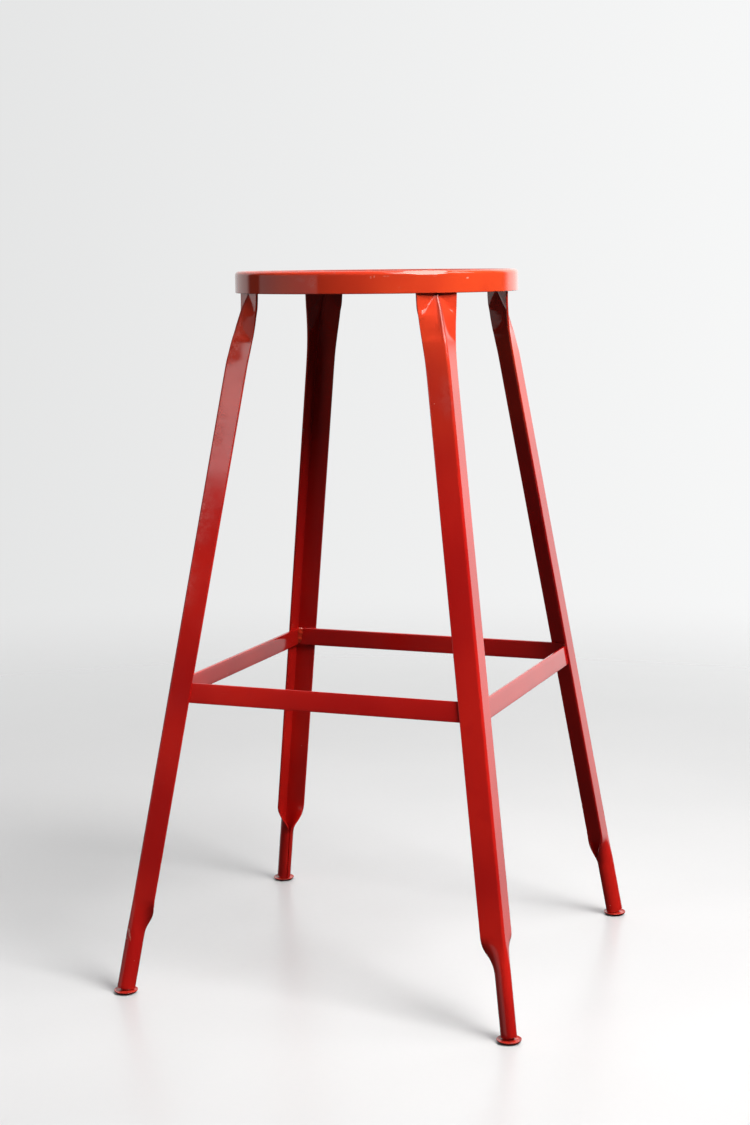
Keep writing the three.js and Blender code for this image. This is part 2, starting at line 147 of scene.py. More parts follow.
def turned(profile, segments):
    """Faces and vertices of a turned profile that starts and ends on the axis."""
    verts, faces = [], []
    inner = profile[1:-1]
    n = len(inner)
    verts.append((0, 0, profile[0][1]))
    for j in range(segments):
        a = 2 * pi * j / segments
        for r, z in inner:
            verts.append((r * math.cos(a), r * math.sin(a), z))
    verts.append((0, 0, profile[-1][1]))
    last = len(verts) - 1
    for j in range(segments):
        k = (j + 1) % segments
        a, b = 1 + j * n, 1 + k * n
        faces.append((0, a, b))
        for i in range(n - 1):
            faces.append((a + i, a + i + 1, b + i + 1, b + i))
        faces.append((a + n - 1, last, b + n - 1))
    return np.array(verts), faces


def curve_through(points, steps):
    """A smooth line through the points, without overshoot (monotone in each stretch)."""
    p = np.asarray(points, float)
    d = np.diff(p, axis=0)
    length = np.hypot(d[:, 0], d[:, 1])
    t = np.concatenate([[0], np.cumsum(length)])
    slope = d / length[:, None]
    m = np.zeros_like(p)
    m[0], m[-1] = slope[0], slope[-1]
    for i in range(1, len(p) - 1):
        for c in (0, 1):
            a, b = slope[i - 1, c], slope[i, c]
            if a * b > 0:
                w1 = 2 * length[i] + length[i - 1]
                w2 = length[i] + 2 * length[i - 1]
                m[i, c] = (w1 + w2) / (w1 / a + w2 / b)
    out = []
    for i in range(len(p) - 1):
        for s in range(steps):
            k = s / steps
            h = length[i]
            k2, k3 = k * k, k ** 3
            out.append((2 * k3 - 3 * k2 + 1) * p[i] + (k3 - 2 * k2 + k) * h * m[i]
                       + (-2 * k3 + 3 * k2) * p[i + 1] + (k3 - k2) * h * m[i + 1])
    out.append(p[-1])
    return [tuple(map(float, q)) for q in out]


def lofted(rings, closed_ends=True):
    """A closed skin over rings of equal length; each end is a fan round its middle."""
    rings = [np.asarray(r, float) for r in rings]
    n, m = len(rings[0]), len(rings)
    verts = np.concatenate(rings + [rings[0].mean(0)[None], rings[-1].mean(0)[None]])
    faces = []
    for i in range(m - 1):
        for j in range(n):
            k = (j + 1) % n
            faces.append((i * n + j, i * n + k, (i + 1) * n + k, (i + 1) * n + j))
    c0, c1 = n * m, n * m + 1
    for j in range(n):
        k = (j + 1) % n
        faces.append((c0, k, j))
        faces.append((c1, (m - 1) * n + j, (m - 1) * n + k))
    return verts, faces


# --------------------------------------------------------------- node graphs
class Graph:
    """Short names for the nodes of one material."""

    def __init__(self, name):
        self.material = bpy.data.materials.new(name)
        self.material.use_nodes = True
        self.tree = self.material.node_tree
        self.tree.nodes.clear()
        out = self.tree.nodes.new("ShaderNodeOutputMaterial")
        self.surface = self.tree.nodes.new("ShaderNodeBsdfPrincipled")
        self.tree.links.new(self.surface.outputs["BSDF"], out.inputs["Surface"])
        self.coords = self.tree.nodes.new("ShaderNodeTexCoord")
        self.object = self.coords.outputs["Object"]

    def node(self, kind, inputs=None, **props):
        n = self.tree.nodes.new(kind)
        for k, v in props.items():
            setattr(n, k, v)
        for k, v in (inputs or {}).items():
            self.put(n.inputs[k], v)
        return n

    def put(self, socket, value):
        if isinstance(value, bpy.types.NodeSocket):
            self.tree.links.new(value, socket)
        else:
            socket.default_value = value

    def math(self, op, a, b=None, c=None, clamp=False):
        n = self.tree.nodes.new("ShaderNodeMath")
        n.operation, n.use_clamp = op, clamp
        for i, v in enumerate((a, b, c)):
            if v is not None:
                self.put(n.inputs[i], v)
        return n.outputs[0]

    def vector(self, op, a, b=None, scale=None):
        n = self.tree.nodes.new("ShaderNodeVectorMath")
        n.operation = op
        self.put(n.inputs[0], a)
        if b is not None:
            self.put(n.inputs[1], b)
        if scale is not None:
            self.put(n.inputs["Scale"], scale)
        return n.outputs["Value"] if op in ("LENGTH", "DISTANCE", "DOT_PRODUCT") else n.outputs["Vector"]

    def span(self, value, lo, hi, to_lo=0.0, to_hi=1.0, soft=True):
        n = self.node("ShaderNodeMapRange", {"Value": value, "From Min": lo, "From Max": hi, "To Min": to_lo, "To Max": to_hi})
        n.interpolation_type = "SMOOTHSTEP" if soft else "LINEAR"
        return n.outputs["Result"]

    def noise(self, scale, detail=3.0, rough=0.55, vector=None, distortion=0.0, seed=0.0):
        v = self.object if vector is None else vector
        if seed:
            v = self.vector("ADD", v, (seed * 1.31, seed * 0.77, seed * 2.13))
        n = self.node("ShaderNodeTexNoise", {"Vector": v, "Scale": scale, "Detail": detail, "Roughness": rough, "Distortion": distortion})
        return n.outputs["Fac"]

    def color(self, fac, a, b, blend="MIX"):
        n = self.tree.nodes.new("ShaderNodeMix")
        n.data_type, n.blend_type = "RGBA", blend
        self.put(n.inputs[0], fac)
        for i, v in ((6, a), (7, b)):
            self.put(n.inputs[i], v if isinstance(v, bpy.types.NodeSocket) or len(v) == 4 else (*v, 1.0))
        return n.outputs[2]

    def mixed(self, fac, a, b):
        n = self.tree.nodes.new("ShaderNodeMix")
        n.data_type = "FLOAT"
        self.put(n.inputs[0], fac)
        self.put(n.inputs[2], a)
        self.put(n.inputs[3], b)
        return n.outputs[0]

    def spot(self, centre, radii, inner=0.25, turn=None):
        """1 in the middle of an ellipsoid, fading to 0 at its edge. Millimetres."""
        d = self.vector("SUBTRACT", self.object, tuple(c * MM for c in centre))
        if turn:
            d = self.node("ShaderNodeVectorRotate", {"Vector": d, "Rotation": tuple(math.radians(t) for t in turn)},
                          rotation_type="EULER_XYZ").outputs[0]
        d = self.vector("DIVIDE", d, tuple(r * MM for r in radii))
        return self.span(self.vector("LENGTH", d), 1.0, inner)

    def bump(self, layers):
        """layers: (height socket, strength, distance in mm), chained."""
        normal = None
        for height, strength, distance in layers:
            n = self.node("ShaderNodeBump", {"Height": height, "Strength": strength, "Distance": distance * MM})
            if normal is not None:
                self.tree.links.new(normal, n.inputs["Normal"])
            normal = n.outputs["Normal"]
        self.tree.links.new(normal, self.surface.inputs["Normal"])

    def stretched(self, scale, turn=(0, 0, 0)):
        return self.node("ShaderNodeMapping", {"Vector": self.object, "Scale": scale, "Rotation": tuple(math.radians(t) for t in turn)},
                         vector_type="POINT").outputs[0]


def streaks(g, stretch, turn, seed, level=0.66):
    """Short, straight, tapering marks: the peaks of a noise drawn out in one direction."""
    n = g.noise(1.0, 1.5, 0.45, g.stretched(stretch, turn), 0.0, seed)
    return g.span(n, level, level + 0.05)


def enamel(name, base=(0.61, 0.0225, 0.0130), rough=0.08, haze=(), scuffs=(), chips=(), peel=1.0, weld=False,
           scratch=0.5, seed=0.0, worn=0.0, coat=0.35, low=None):
    """Brushed-on gloss enamel over steel: orange peel, soft waves, hairlines, dull smudges, dust specks and
    small chips. haze, scuffs and chips are places given in millimetres. low is a darker, less orange red
    below the leg tops: painted shade on the lower legs, against painted light on the lighter, more orange tops."""
    g = Graph(name)
    s = g.surface
    big = g.noise(7.0, 2.0, 0.5, seed=seed + 1)
    blot = g.noise(38.0, 4.0, 0.6, seed=seed + 2)
    fine = g.noise(420.0, 3.0, 0.6, seed=seed + 3)

    def tone(b):
        deep = tuple(c * 0.80 for c in b)
        warm = (b[0] * 1.06, b[1] * 1.45, b[2] * 1.1)
        mottled = g.color(g.span(big, 0.35, 0.68), deep, warm)
        return g.color(g.math("MULTIPLY", g.span(blot, 0.50, 0.74), 0.35), mottled, tuple(c * 0.86 for c in b))

    col = tone(base)
    # painted light and shade: the paint is lighter and more orange towards the top, darker below
    if low is not None:
        height = g.node("ShaderNodeSeparateXYZ", {0: g.object}).outputs[2]
        col = g.color(g.span(height, 0.50, 0.71), tone(low), col)

    # dull smudges and handling marks all over, weak
    smudge = g.math("MULTIPLY", g.span(g.noise(24.0, 5.0, 0.62, seed=seed + 5), 0.48, 0.72), g.span(fine, 0.30, 0.62))
    rough_v = g.math("ADD", rough, g.math("MULTIPLY", smudge, 0.10))
    rough_v = g.math("ADD", rough_v, g.math("MULTIPLY", g.span(blot, 0.35, 0.7), 0.03))

    # hairlines, mostly along the height, some across
    lines = streaks(g, (1500, 1500, 60), (3, 5, 0), seed + 7)
    lines2 = streaks(g, (120, 1600, 1600), (20, 15, 35), seed + 9)
    lines3 = streaks(g, (1600, 110, 1600), (-25, 20, 15), seed + 11)
    patch = g.span(g.noise(16.0, 2.0, 0.5, seed=seed + 13), 0.52, 0.66)
    patch2 = g.span(g.noise(21.0, 2.0, 0.5, seed=seed + 15), 0.55, 0.68)
    hair = g.math("MAXIMUM", g.math("MULTIPLY", lines, patch), g.math("MULTIPLY", g.math("MAXIMUM", lines2, lines3), patch2))
    hair = g.math("MULTIPLY", hair, scratch)

    # hazed places: a veil of fine rubbed marks
    veil = None
    for centre, radii, amount, turn in haze:
        sp = g.math("MULTIPLY", g.spot(centre, radii, 0.2, turn), amount)
        veil = sp if veil is None else g.math("MAXIMUM", veil, sp)
    if veil is not None:
        cloud = g.math("ADD", g.math("MULTIPLY", g.span(g.noise(130.0, 6.0, 0.66, seed=seed + 17), 0.40, 0.66), 0.80),
                       g.math("MULTIPLY", g.span(g.noise(420.0, 4.0, 0.7, seed=seed + 18), 0.42, 0.62), 0.35))
        rubbed = g.math("MAXIMUM", streaks(g, (900, 900, 70), (10, 5, 0), seed + 19, 0.58),
                        streaks(g, (200, 1200, 900), (45, 30, 20), seed + 21, 0.60))
        veil = g.math("MULTIPLY", veil, g.math("ADD", cloud, g.math("MULTIPLY", rubbed, 0.15)), clamp=True)
        rough_v = g.math("ADD", rough_v, g.math("MULTIPLY", veil, 0.30))
        col = g.color(g.math("MULTIPLY", veil, 0.20), col, (0.62, 0.30, 0.26))

    # scuffs: broken pale streaks at set places
    mark = None
    for centre, radii, amount, turn in scuffs:
        sp = g.math("MULTIPLY", g.spot(centre, radii, 0.45, turn), amount)
        mark = sp if mark is None else g.math("MAXIMUM", mark, sp)
    if mark is not None:
        broken = g.span(g.noise(520.0, 4.0, 0.6, seed=seed + 23), 0.34, 0.60)
        mark = g.math("MULTIPLY", mark, broken)
        col = g.color(g.math("MULTIPLY", mark, 0.75), col, (0.66, 0.34, 0.28))
        rough_v = g.math("ADD", rough_v, g.math("MULTIPLY", mark, 0.25))

    col = g.color(g.math("MULTIPLY", hair, 0.16), col, (0.60, 0.20, 0.16))
    rough_v = g.math("ADD", rough_v, g.math("MULTIPLY", hair, 0.16))

    # painted shade: a darker red in the rim's fold and along the pressed ridge of each leg top, where shade falls; the
    # paint is also rougher there
    dull_and_shade = g.node("ShaderNodeAttribute", attribute_name="dull_and_shade").outputs["Fac"]
    dull_and_shade = g.math("MULTIPLY", dull_and_shade, g.span(g.noise(75.0, 4.0, 0.6, seed=seed + 39), 0.25, 0.50, 0.7, 1.0))
    # painted shade: the colour is pulled towards a dark red where the mask is strong
    col = g.color(g.math("MULTIPLY", g.math("POWER", dull_and_shade, 3.0), 0.72), col, tuple(c * 0.22 for c in base))
    rough_v = g.math("ADD", rough_v, g.math("MULTIPLY", dull_and_shade, 0.36))

    # dust specks held in the paint
    cells = g.node("ShaderNodeTexVoronoi", {"Vector": g.object, "Scale": 118.0, "Randomness": 1.0}, feature="F1")
    pick = g.node("ShaderNodeSeparateColor", {"Color": cells.outputs["Color"]}).outputs[0]
    speck = g.math("MULTIPLY", g.span(cells.outputs["Distance"], 0.075, 0.035), g.math("GREATER_THAN", pick, 0.93))
    col = g.color(g.math("MULTIPLY", speck, 0.55), col, (0.72, 0.42, 0.36))

    # small chips down to dark primer or steel, ragged
    chip = None
    for centre, radii, amount, turn in chips:
        sp = g.math("MULTIPLY", g.spot(centre, radii, 0.6, turn), amount)
        chip = sp if chip is None else g.math("MAXIMUM", chip, sp)
    edge = g.node("ShaderNodeAttribute", attribute_name="edge").outputs["Fac"]
    ragged = g.noise(700.0, 5.0, 0.72, seed=seed + 25)
    nick = g.math("MULTIPLY", edge, g.span(g.noise(60.0, 4.0, 0.65, seed=seed + 27), 0.66 - worn, 0.74 - worn))
    nick = g.math("MULTIPLY", nick, g.span(ragged, 0.46, 0.55))
    if chip is not None:
        nick = g.math("MAXIMUM", nick, g.math("MULTIPLY", chip, g.span(ragged, 0.40, 0.52)))
    col = g.color(g.math("MULTIPLY", nick, 0.85), col, (0.30, 0.16, 0.14))
    rough_v = g.math("ADD", rough_v, g.math("MULTIPLY", nick, 0.30), clamp=True)

    s_in = s.inputs
    g.put(s_in["Base Color"], col)
    g.put(s_in["Roughness"], rough_v)
    s_in["Metallic"].default_value = 0.0
    s_in["IOR"].default_value = 1.50
    s_in["Coat Weight"].default_value = coat
    s_in["Coat Roughness"].default_value = 0.04
    s_in["Coat IOR"].default_value = 1.5

    wave = g.noise(26.0, 1.0, 0.4, seed=seed + 31)
    peel_a = g.noise(330.0, 1.0, 0.35, seed=seed + 33)
    peel_b = g.noise(900.0, 1.0, 0.35, seed=seed + 35)
    layers = [
        (wave, 0.35, 0.35),
        (peel_a, 0.10 * peel, 0.10),
        (peel_b, 0.06 * peel, 0.04),
        (g.math("SUBTRACT", speck, g.math("ADD", hair, g.math("MULTIPLY", nick, 2.0))), 0.35, 0.05),
    ]
    if weld:
        layers.insert(1, (g.noise(190.0, 3.0, 0.55, seed=seed + 37), 0.8, 0.6))
    g.bump(layers)
    return g.material


def worn_glide(name):
    """Enamel above, rubbed to dull dirty steel on the underside where it slides."""
    g = Graph(name)
    s = g.surface
    height = g.node("ShaderNodeAttribute", attribute_name="under").outputs["Fac"]
    n1 = g.noise(240.0, 4.0, 0.65)
    under = g.span(g.math("ADD", height, g.math("MULTIPLY", g.math("SUBTRACT", n1, 0.5), 0.5)), 0.42, 0.58)
    blot = g.noise(120.0, 4.0, 0.6, seed=3)
    red = g.color(g.span(blot, 0.3, 0.7), (0.40, 0.016, 0.010), (0.55, 0.030, 0.018))
    # pale patches on the lip and on the ring round the crown: partly rubbed paint, partly painted highlight
    rub_and_highlight = g.span(g.noise(500.0, 4.0, 0.7, seed=5), 0.55, 0.70)
    edge = g.node("ShaderNodeAttribute", attribute_name="edge").outputs["Fac"]
    red = g.color(g.math("MULTIPLY", g.math("MULTIPLY", rub_and_highlight, edge), 0.55), red, (0.62, 0.30, 0.25))
    dirt = g.color(g.span(n1, 0.35, 0.65), (0.020, 0.016, 0.014), (0.075, 0.060, 0.052))
    col = g.color(under, red, dirt)
    g.put(s.inputs["Base Color"], col)
    g.put(s.inputs["Metallic"], g.math("MULTIPLY", under, 0.6))
    rough = g.math("ADD", g.mixed(under, 0.20, 0.50), g.math("MULTIPLY", g.span(blot, 0.4, 0.7), 0.10))
    g.put(s.inputs["Roughness"], rough)
    s.inputs["Coat Weight"].default_value = 0.2
    s.inputs["Coat Roughness"].default_value = 0.08
    g.bump([(g.noise(300.0, 2.0, 0.5, seed=7), 0.30, 0.15), (n1, 0.15, 0.06)])
    return g.material


def zinc(name):
    """Dull zinc plate with fine turned lines and white bloom."""
    g = Graph(name)
    s = g.surface
    rings = g.noise(1.0, 3.0, 0.6, g.stretched((200, 200, 2600)))
    bloom = g.span(g.noise(350.0, 5.0, 0.7, seed=2), 0.50, 0.68)
    col = g.color(bloom, (0.36, 0.36, 0.345), (0.58, 0.58, 0.55))
    col = g.color(g.math("MULTIPLY", g.span(g.noise(150.0, 4.0, 0.6, seed=4), 0.6, 0.75), 0.6), col, (0.20, 0.10, 0.05))
    g.put(s.inputs["Base Color"], col)
    s.inputs["Metallic"].default_value = 0.9
    g.put(s.inputs["Roughness"], g.math("ADD", 0.34, g.math("MULTIPLY", bloom, 0.25)))
    g.bump([(rings, 0.25, 0.05), (bloom, 0.2, 0.03)])
    return g.material


def moulded(name):
    """Black moulded plastic with a fine matt grain."""
    g = Graph(name)
    s = g.surface
    grain = g.noise(1400.0, 3.0, 0.6)
    dust = g.span(g.noise(160.0, 4.0, 0.65, seed=3), 0.52, 0.72)
    col = g.color(g.math("MULTIPLY", dust, 0.5), (0.016, 0.016, 0.017), (0.085, 0.078, 0.070))
    g.put(s.inputs["Base Color"], col)
    g.put(s.inputs["Roughness"], g.math("ADD", 0.50, g.math("MULTIPLY", grain, 0.2)))
    g.bump([(grain, 0.3, 0.05), (g.noise(90.0, 2.0, 0.5, seed=6), 0.2, 0.1)])
    return g.material


# ---------------------------------------------------------------- the camera
# the photograph's view: camera axes in the row's frame
CAM_AT = (0.78865, -2.08756, 0.77562)
CAM_FWD = Vector((-0.3516, 0.9246, -0.1468)).normalized()
CAM_RIGHT = Vector((0.9352, 0.3540, -0.0102))
FOCAL_PX, FRAME_H = 2050.64, 1125.0

CAM_RIGHT = (CAM_RIGHT - CAM_FWD * CAM_RIGHT.dot(CAM_FWD)).normalized()
CAM_UP = CAM_RIGHT.cross(CAM_FWD).normalized()
cam_data = bpy.data.cameras.new("camera")
cam_data.sensor_fit = "VERTICAL"
cam_data.sensor_width = cam_data.sensor_height = 36.0
cam_data.lens = FOCAL_PX * 36.0 / FRAME_H
cam_data.clip_start, cam_data.clip_end = 0.02, 60.0
camera = bpy.data.objects.new("camera", cam_data)
camera.matrix_world = Matrix((
    (CAM_RIGHT.x, CAM_UP.x, -CAM_FWD.x, CAM_AT[0]),
    (CAM_RIGHT.y, CAM_UP.y, -CAM_FWD.y, CAM_AT[1]),
    (CAM_RIGHT.z, CAM_UP.z, -CAM_FWD.z, CAM_AT[2]),
    (0, 0, 0, 1),
))
bpy.context.scene.collection.objects.link(camera)
bpy.context.scene.camera = camera

# ------------------------------------------------------------------ finishes
seat_paint = enamel(
    "seat_enamel", base=(0.68, 0.0440, 0.0150), rough=0.055, seed=2.0, scratch=0.22, worn=0.02,
    haze=[((-12.4, -151.9, 751.5), (7.5, 8, 9), 0.9, None), ((-25.0, -150.3, 755.0), (10, 8, 4), 0.35, None)],
    scuffs=[
        ((48.3, -144.4, 756.6), (1.2, 3, 1.9), 0.45, (0, 12, 0)),
        ((51.6, -143.3, 757.2), (0.9, 3, 1.5), 0.55, (0, -8, 0)),
        ((62.7, -138.9, 757.6), (4.5, 4, 1.0), 0.26, None),
        ((105.0, -110.5, 757.2), (2.4, 3, 0.8), 0.25, None),
        ((129.5, -80.3, 754.9), (1.5, 3, 1.2), 1.0, (0, 25, 0)),
        ((74.0, -133.3, 746.0), (1.5, 3, 2.4), 0.14, None),
    ],
)
# painted light and shade: a lighter, more orange red for the leg tops and a darker red for the lower legs and bars
LIT_TOP_RED, SHADED_LOW_RED = (0.63, 0.034, 0.0150), (0.575, 0.0100, 0.0085)
leg_paint = {}
leg_paint["front_left"] = enamel(
    "frame_enamel_front_left", base=LIT_TOP_RED, low=SHADED_LOW_RED, coat=0.10, rough=0.09, seed=5.0, scratch=0.45,
    haze=[
        ((-122, -122, 700), (26, 26, 48), 1.0, None), ((-136, -136, 615), (26, 26, 62), 0.95, None),
        ((-150, -150, 520), (26, 26, 60), 0.75, None), ((-164, -164, 448), (26, 26, 60), 0.6, None),
    ],
    scuffs=[((-209.0, -214.5, 68.0), (1.5, 6.0, 13.0), 0.75, (-8, 14, 0))],
    chips=[((-212, -214, 60), (2.0, 3.0, 1.2), 0.8, None)],
)
leg_paint["front_right"] = enamel(
    "frame_enamel_front_right", base=LIT_TOP_RED, low=SHADED_LOW_RED, coat=0.10, rough=0.08, seed=9.0, scratch=0.3,
    haze=[((128, -128, 640), (20, 20, 40), 0.35, None)],
    chips=[((203.1, -219, 70.8), (1.0, 4.0, 0.9), 0.9, None), ((206.0, -222, 51.3), (0.9, 4.0, 0.8), 0.9, None)],
)
leg_paint["back_right"] = enamel("frame_enamel_back_right", base=LIT_TOP_RED, low=SHADED_LOW_RED, coat=0.10, rough=0.09, seed=14.0, scratch=0.3)
leg_paint["back_left"] = enamel("frame_enamel_back_left", base=LIT_TOP_RED, low=SHADED_LOW_RED, coat=0.10, rough=0.09, seed=18.0, scratch=0.3)
# the bars take the darker red of the lower legs: painted shade
bar_paint = enamel("frame_enamel_bars", base=SHADED_LOW_RED, rough=0.09, seed=23.0, scratch=0.3)
weld_paint = enamel("weld_enamel", base=(0.54, 0.025, 0.011), rough=0.16, seed=27.0, scratch=0.2, weld=True, peel=1.5)
glide_paint = worn_glide("glide_enamel")
stem_zinc = zinc("stem_steel")
plug_black = moulded("insert_plastic")


# ------------------------------------------------------------------ the seat
def dent(x, y, z):
    """How far a point of the pan moves, inward and down alike: the edge is knocked to a flat at 45 degrees."""
    r = math.hypot(x, y)
    a = math.degrees(math.atan2(y, x)) - DENT_AZ
    a = (a + 180) % 360 - 180
    across = 0.5 + 0.5 * math.cos(pi * a / DENT_HALF) if abs(a) < DENT_HALF else 0.0
    dr, dz = r - (SEAT_R - RIM_ROUND), z - (SEAT_TOP - RIM_ROUND)
    out = (dr + dz) / math.sqrt(2)
    inner = math.hypot(max(dr, 0), max(dz, 0)) < RIM_ROUND - PAN_T / 2
    limit = (RIM_ROUND - PAN_T if inner else RIM_ROUND) - DENT_DEPTH * across
    return max(0.0, out - limit) / math.sqrt(2)


def seat():
    top = [(0, DISH_Z), (20, DISH_Z), (DISH_FLAT_R, DISH_Z), (85, 755.7), (110, 756.0), (127, 756.6), (135, 757.3),
           (139.2, 758.3), (141.4, 759.6), (143.2, 761.2), (144.8, 762.3), (146.2, 762.85)]
    c_r, c_z = SEAT_R - RIM_ROUND, SEAT_TOP - RIM_ROUND
    upper = curve_through(top + [(c_r, SEAT_TOP)], 5)
    roll = [(c_r + RIM_ROUND * math.cos(a), c_z + RIM_ROUND * math.sin(a))
            for a in (pi / 2 * (1 - i / 14) for i in range(1, 15))]
    skirt = [(SEAT_R, z) for z in (757.6, 755.8, 753.6, 751, 748, 745, 742.5, 741.3)]
    e = 0.75  # the skirt's edge is rounded by the paint
    lip = [(SEAT_R - e + e * math.cos(a), SKIRT_BOTTOM + e + 0.0 - e * math.sin(a)) for a in (pi / 2 * i / 5 for i in range(6))]
    lip += [(SEAT_R - PAN_T + e - e * math.sin(a), SKIRT_BOTTOM + e - e * math.cos(a)) for a in (pi / 2 * i / 5 for i in range(1, 6))]
    inner = RIM_ROUND - PAN_T
    inside = [(SEAT_R - PAN_T, z) for z in (742.5, 746, 750, 754, 757)]
    inside += [(c_r + inner * math.cos(a), c_z + inner * math.sin(a)) for a in (pi / 2 * i / 6 for i in range(7))]
    under = [(r, z - PAN_T) for r, z in reversed(upper[:-1])]
    profile = upper + roll + skirt + lip + inside + under
    segments = 320
    v, f = turned(profile, segments)
    for p in v:
        # the pressing isn't quite true: the skirt wanders by hundredths
        a = math.atan2(p[1], p[0])
        r = math.hypot(p[0], p[1])
        if r > 140:
            k = 0.10 * wobble(3 * a, 1.0) - 0.10
            s = (r + k * smooth(140, 150, r)) / r
            p[0] *= s
            p[1] *= s
        d = dent(p[0], p[1], p[2])
        if d > 0:
            p[0] *= 1 - d / r
            p[1] *= 1 - d / r
            p[2] -= d
        if r < 120 and p[2] > 750:
            p[2] += 0.12 * wobble(p[0] / 21.0, 3.0) * wobble(p[1] / 24.0, 5.0) * smooth(122, 90, r)
    edge = []
    for p in v:
        r = math.hypot(p[0], p[1])
        edge.append(1.0 if p[2] < 741.2 else 0.35 * smooth(148, 151.5, r) * smooth(757.5, 760.5, p[2]))
    # painted shade mask: darkens the inner wall of the rim's fold, where shade falls
    dull_and_shade = []
    for p in v:
        r = math.hypot(p[0], p[1])
        dull_and_shade.append(smooth(759.0, 760.8, p[2]) * smooth(147.2, 145.6, r))
    return make_piece("fine_seat_pan", v, f, "frame", "seat_pan", seat_paint,
                      attributes={"edge": edge, "dull_and_shade": dull_and_shade})


# ------------------------------------------------------------------ the legs
TOP_TABLE = [
    (741, 148.1, 0.0, 22.9), (737, 150.3, 2.1, 22.8), (734, 152.2, 4.0, 22.7), (725, 156.8, 8.2, 22.2),
    (710, 162.4, 12.6, 21.0), (700, 165.7, 14.5, 20.1), (690, 169.0, 16.1, 19.3), (680, 172.1, 17.1, 18.6),
    (670, 175.1, 17.75, 18.15), (655, RIDGE0 - SPLAY * 655, 17.96, 17.96), (640, RIDGE0 - SPLAY * 640, 17.96, 17.96),
]


def top_row(z):
    if z >= TAB_START:
        return TAB_V, 0.0, 22.9
    if z <= 640:
        return RIDGE0 - SPLAY * z, 17.96, 17.96
    i = 0
    while TOP_TABLE[i + 1][0] > z:
        i += 1
    at = lambda j: TOP_TABLE[min(len(TOP_TABLE) - 1, max(0, j))]
    a, b, p, n = at(i), at(i + 1), at(i - 1), at(i + 2)
    h = a[0] - b[0]
    k = (a[0] - z) / h
    out = []
    for c in (1, 2, 3):
        ma = (a[c] - b[c]) / h if i == 0 else (p[c] - b[c]) / (p[0] - b[0])
        mb = (a[c] - n[c]) / (a[0] - n[0])
        k2, k3 = k * k, k ** 3
        out.append((2 * k3 - 3 * k2 + 1) * a[c] + (k3 - 2 * k2 + k) * -h * ma + (-2 * k3 + 3 * k2) * b[c] + (k3 - k2) * -h * mb)
    return tuple(out)


def arc_corner(a, b, c, t, steps):
    """Points of a round corner at b, whose tangents start t away from it."""
    a, b, c = (np.array(q, float) for q in (a, b, c))
    d1, d2 = a - b, c - b
    l1, l2 = np.linalg.norm(d1), np.linalg.norm(d2)
    t = min(t, 0.45 * l1, 0.49 * l2)
    d1, d2 = d1 / l1, d2 / l2
    cosine = float(np.clip(d1 @ d2, -1, 1))
    half = math.acos(cosine) / 2
    if half > pi / 2 - 0.01 or t < 1e-4:
        return [b + d1 * t, b, b + d2 * t]
    rad = t * math.tan(half)
    bis = (d1 + d2) / np.linalg.norm(d1 + d2)
    centre = b + bis * (rad / math.sin(half))
    p, q = b + d1 * t - centre, b + d2 * t - centre
    total = math.acos(float(np.clip(p @ q / (rad * rad), -1, 1)))
    out = []
    for i in range(steps + 1):
        k = i / steps
        if total < 1e-6:
            out.append(centre + p * (1 - k) + q * k)
        else:
            out.append(centre + (math.sin((1 - k) * total) * p + math.sin(k * total) * q) / math.sin(total))
    return out


RIDGE_SIDE = [(741, 0), (734, 2.6), (724, 4.0), (712, 5.4), (705, 8.0), (698, 13.0), (690, 24.0), (640, 30.0)]


def ridge_side(z):
    return float(np.interp(z, [h for h, _ in reversed(RIDGE_SIDE)], [w for _, w in reversed(RIDGE_SIDE)]))


def upper_face(z):
    """The outer face from the corner to the free edge, as straight stretches."""
    _, depth, ue = top_row(z)
    uk = ue * clamp01((TAB_START - z) / KNEE_RUN)
    flat = smooth(0, 9, ue - uk)
    slope = math.tan(math.radians(24)) * (1 - flat)
    knee = np.array((uk, depth - (ue - uk) * slope))
    chord = float(np.linalg.norm(knee))
    reach = min(ridge_side(z), chord)
    incline = mix(pi / 4, math.atan2(knee[1], knee[0]), smooth(0.35, 0.95, reach / max(chord, 1e-9)))
    points = [np.zeros(2)]
    if reach < 0.96 * chord:
        points.append(np.array((math.cos(incline), math.sin(incline))) * reach)
    if ue - uk > 0.4:
        points.append(knee)
    points.append(np.array((ue, depth)))
    return points


def upper_half(z):
    t = LEG_T / 2
    _, depth, ue = top_row(z)
    if depth < 0.02:
        return np.array([(ue * i / 40, t) for i in range(41)])
    face = upper_face(z)
    way = [(q - p) / np.linalg.norm(q - p) for p, q in zip(face, face[1:])]
    normal = [np.array((-d[1], d[0])) for d in way]
    half = []
    for i, p in enumerate(face):
        if i == 0:
            half.append(np.array((0.0, t / way[0][0])))
        elif i == len(face) - 1:
            half.append(p + normal[i - 1] * t)
        else:
            m = normal[i - 1] + normal[i]
            m = m / np.linalg.norm(m)
            half.append(p + m * (t / float(m @ normal[i])))
    mirrored = half[1] * (-1, 1)
    line = arc_corner(mirrored, half[0], half[1], BEND_R * way[0][1] / way[0][0], 16)[8:] if way[0][1] > 0.02 else [half[0]]
    if abs(line[0][0]) > 1e-6:
        line = [np.array((0.0, line[0][1]))] + line[1:]
    for i in range(1, len(half) - 1):
        line += arc_corner(half[i - 1], half[i], half[i + 1], KNEE_SOFT, 12)
    line.append(half[-1])
    line = np.array(line)
    line[0, 0] = 0.0
    keep = np.concatenate([[True], np.hypot(*np.diff(line, axis=0).T) > 1e-7])
    return line[keep]


KNEE_SOFT = 4.5


